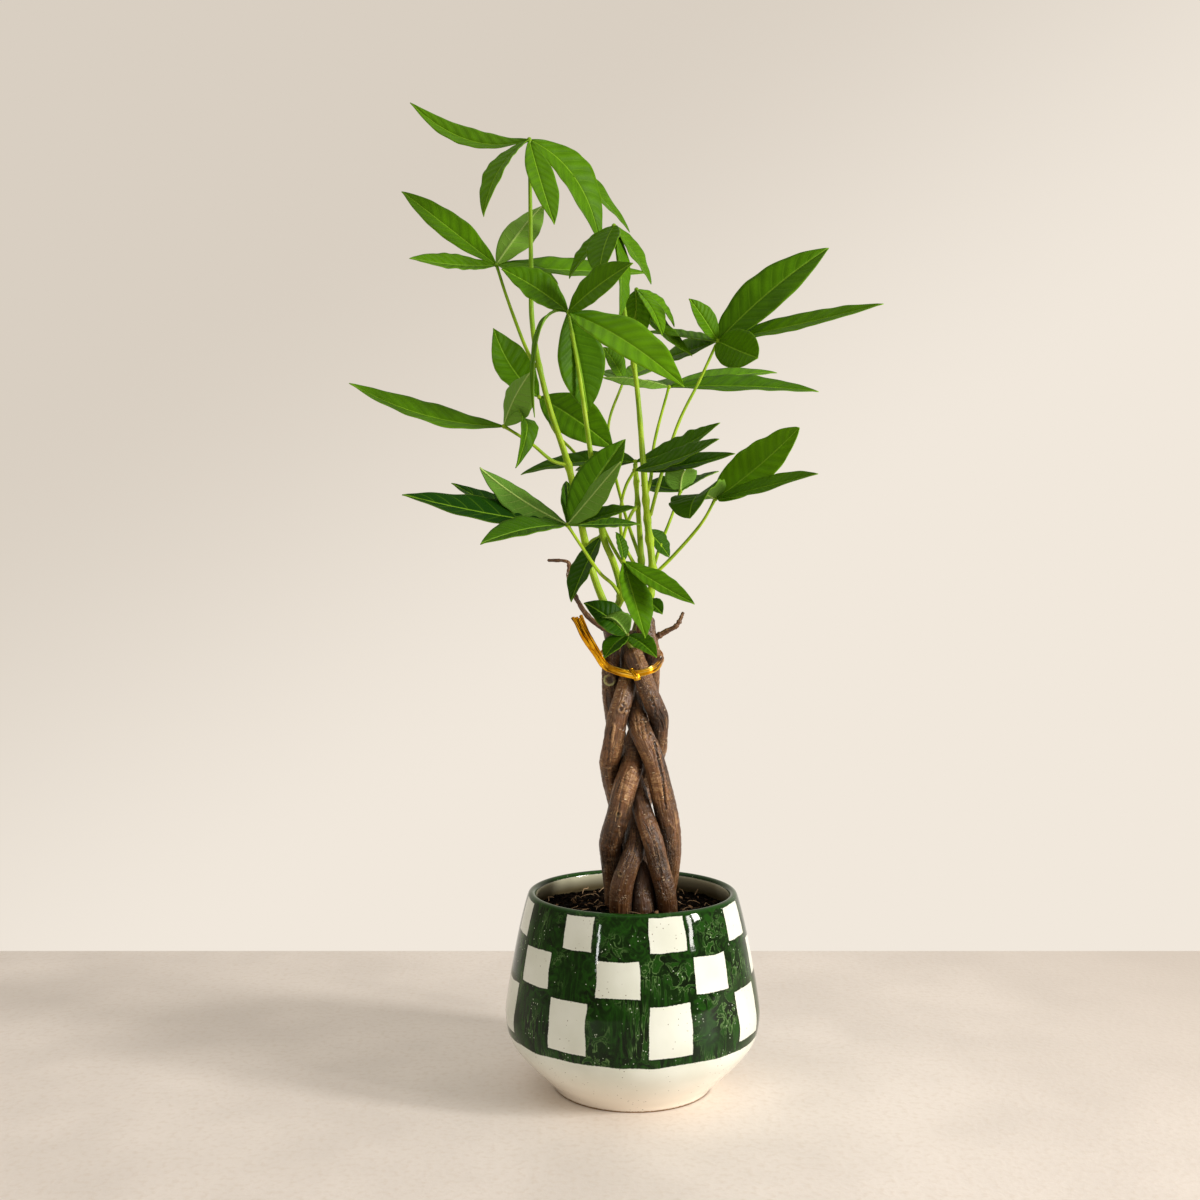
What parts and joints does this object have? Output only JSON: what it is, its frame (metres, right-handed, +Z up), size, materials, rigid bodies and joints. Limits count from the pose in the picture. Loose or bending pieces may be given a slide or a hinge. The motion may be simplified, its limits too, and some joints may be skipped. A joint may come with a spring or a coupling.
{
  "type": "potted money tree",
  "caption": "Braided-trunk money tree with airy palmate foliage, tied with gold foil and planted in a round, glossy checked ceramic pot that tapers to a small foot.",
  "frame": {"origin": "centre of the pot's flat foot, on the surface it stands on", "axes": "+Z up along the trunks, -Y towards the viewer, +X to the viewer's right"},
  "size_m": [0.3064, 0.2107, 0.5884],
  "materials": {
    "glazed_ceramic": "green and cream checked gloss glaze",
    "potting_soil": "rough dark soil with bark bits",
    "bark": "grey-brown ridged bark",
    "foliage": "satin green leaves",
    "gold_foil": "crinkled gold foil"
  },
  "bodies": {
    "root": {"pot": "glazed_ceramic", "soil": "potting_soil", "trunk_1": "bark", "trunk_2": "bark", "trunk_3": "bark", "trunk_4": "bark", "trunk_5": "bark", "shoot_left": "foliage", "shoot_front": "foliage", "shoot_right": "foliage", "shoot_middle": "foliage", "sprout": "foliage", "gold_tie": "gold_foil"}
  },
  "joints": []
}
